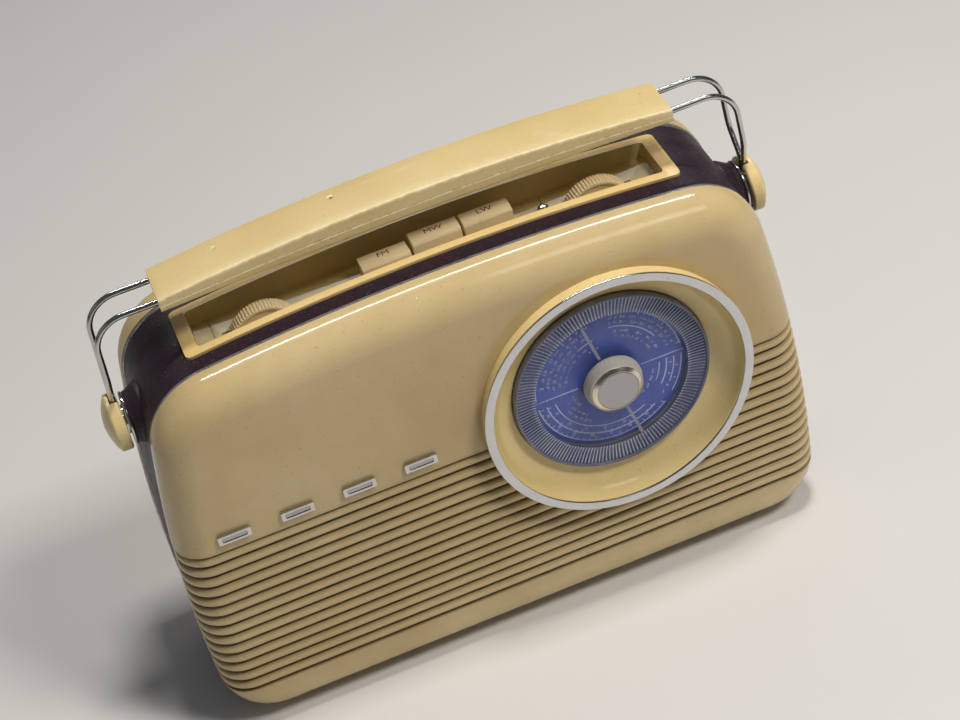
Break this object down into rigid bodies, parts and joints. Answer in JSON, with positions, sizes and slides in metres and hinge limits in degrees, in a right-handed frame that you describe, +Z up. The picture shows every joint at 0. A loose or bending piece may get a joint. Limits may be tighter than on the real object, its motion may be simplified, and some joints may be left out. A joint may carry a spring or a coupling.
{
  "type": "portable radio",
  "caption": "Portable table radio in cream plastic with a leathercloth band, round tuning dial, waveband keys and a swinging carrying handle on chrome rods.",
  "frame": {"origin": "on the surface the radio stands on, under the middle of its overall box", "axes": "+X to the right seen from the front, -Y towards the front with the dial, +Z up"},
  "size_m": [0.3552, 0.115, 0.2615],
  "materials": {
    "cream_plastic": "aged cream moulding, glossy with fine scuffs",
    "cream_grip": "cream moulding, handled and chipped",
    "cream_keys": "lighter cream moulding",
    "leathercloth": "dark aubergine grained leathercloth",
    "dark_trim": "dark grey edging, rubbed",
    "plywood": "bare plywood",
    "black_rubber": "matt",
    "chrome_trim": "bright, lightly pitted",
    "scale_blue": "printed blue-violet scale",
    "clear_plastic": "clear moulded styrene, fluted rim",
    "pointer_grey": "satin",
    "knob_satin": "warm satin",
    "steel_plate": "plated sheet",
    "brass_plate": "turned",
    "aluminium_vane": "bare",
    "board_brown": "phenolic board",
    "component_mix": "components",
    "bakelite": "moulded",
    "paper_cone": "pressed paper",
    "grille_cloth": "woven cloth",
    "ferrite": "sintered",
    "copper_wire": "wound wire on paper former",
    "cord": "drive cord",
    "battery_card": "card sleeve",
    "magnet_iron": "zinc plated"
  },
  "bodies": {
    "case": {"front_shell": "cream_plastic", "rear_shell": "cream_plastic", "control_panel": "cream_plastic", "dial_surround": "cream_plastic", "edge_beadings": "dark_trim", "band_cover": "leathercloth", "case_frame": "plywood", "feet": "black_rubber", "panel_screw": "chrome_trim", "volume_control": "bakelite", "tone_control": "bakelite", "control_bracket": "steel_plate", "spring_fm": "steel_plate", "spring_mw": "steel_plate", "spring_lw": "steel_plate", "switch_bank": "bakelite", "dial_ring": "chrome_trim", "scale_plate": "scale_blue", "spindle_bush": "brass_plate", "drive_cord": "cord", "gang_frame": "steel_plate", "gang_stator": "aluminium_vane", "baffle_board": "plywood", "speaker_cloth": "grille_cloth", "speaker_basket": "steel_plate", "speaker_cone": "paper_cone", "speaker_magnet": "magnet_iron", "circuit_board": "board_brown", "if_cans": "aluminium_vane", "transformers": "magnet_iron", "board_components": "component_mix", "chassis_plate": "steel_plate", "ferrite_rod": "ferrite", "aerial_coils": "copper_wire", "rod_clips": "bakelite", "battery": "battery_card", "battery_clip": "bakelite", "battery_cradle": "steel_plate", "rear_sockets": "bakelite", "case_screws": "steel_plate", "front_tablets": "chrome_trim", "pivot_bosses": "leathercloth", "pivot_bolts": "chrome_trim"},
    "handle": {"grip_upper": "cream_grip", "grip_lower": "cream_grip", "handle_rods": "chrome_trim", "pivot_knobs": "cream_keys"},
    "tuning": {"tuning_disc": "clear_plastic", "tuning_knob": "knob_satin", "knob_cap": "knob_satin", "tuning_spindle": "steel_plate", "dial_pointer": "pointer_grey", "drive_pulley": "brass_plate"},
    "gang": {"gang_rotor": "aluminium_vane"},
    "volume": {"volume_wheel": "cream_keys"},
    "tone": {"tone_wheel": "cream_keys"},
    "fm_key": {"key_fm": "cream_keys"},
    "mw_key": {"key_mw": "cream_keys"},
    "lw_key": {"key_lw": "cream_keys"},
    "door": {"battery_door": "cream_plastic"}
  },
  "joints": [
    {"name": "handle_swing", "type": "hinge", "parent": "case", "child": "handle", "pos_m": [0, 0.00455, 0.1835], "axis": [1, 0, 0], "range_deg": [-100, 56]},
    {"name": "tuning_turn", "type": "hinge", "parent": "case", "child": "tuning", "pos_m": [0.0662, -0.04475, 0.1344], "axis": [0, 1, 0], "range_deg": [-150, 150]},
    {"name": "gang_turn", "type": "hinge", "parent": "case", "child": "gang", "pos_m": [0.1202, -0.00975, 0.1344], "axis": [0, 1, 0], "range_deg": [-93, 93]},
    {"name": "volume_turn", "type": "hinge", "parent": "case", "child": "volume", "pos_m": [-0.088, -0.00175, 0.2069], "axis": [0, 1, 0], "range_deg": [-135, 135]},
    {"name": "tone_turn", "type": "hinge", "parent": "case", "child": "tone", "pos_m": [0.088, -0.00175, 0.2069], "axis": [0, 1, 0], "range_deg": [-135, 135]},
    {"name": "fm_press", "type": "slide", "parent": "case", "child": "fm_key", "axis": [0, 0, 1], "range_m": [0, 0.0034], "deforming": ["spring_fm"]},
    {"name": "mw_press", "type": "slide", "parent": "case", "child": "mw_key", "axis": [0, 0, 1], "range_m": [-0.0034, 0], "stiffness_N_per_m": 300, "springref_m": 0.002, "deforming": ["spring_mw"]},
    {"name": "lw_press", "type": "slide", "parent": "case", "child": "lw_key", "axis": [0, 0, 1], "range_m": [-0.0034, 0], "stiffness_N_per_m": 300, "springref_m": 0.002, "deforming": ["spring_lw"]},
    {"name": "door_off", "type": "slide", "parent": "case", "child": "door", "axis": [0, 1, 0], "range_m": [0, 0.03]}
  ],
  "couplings": [
    {"joint": "gang_turn", "follows": "tuning_turn", "ratio": 0.616}
  ]
}
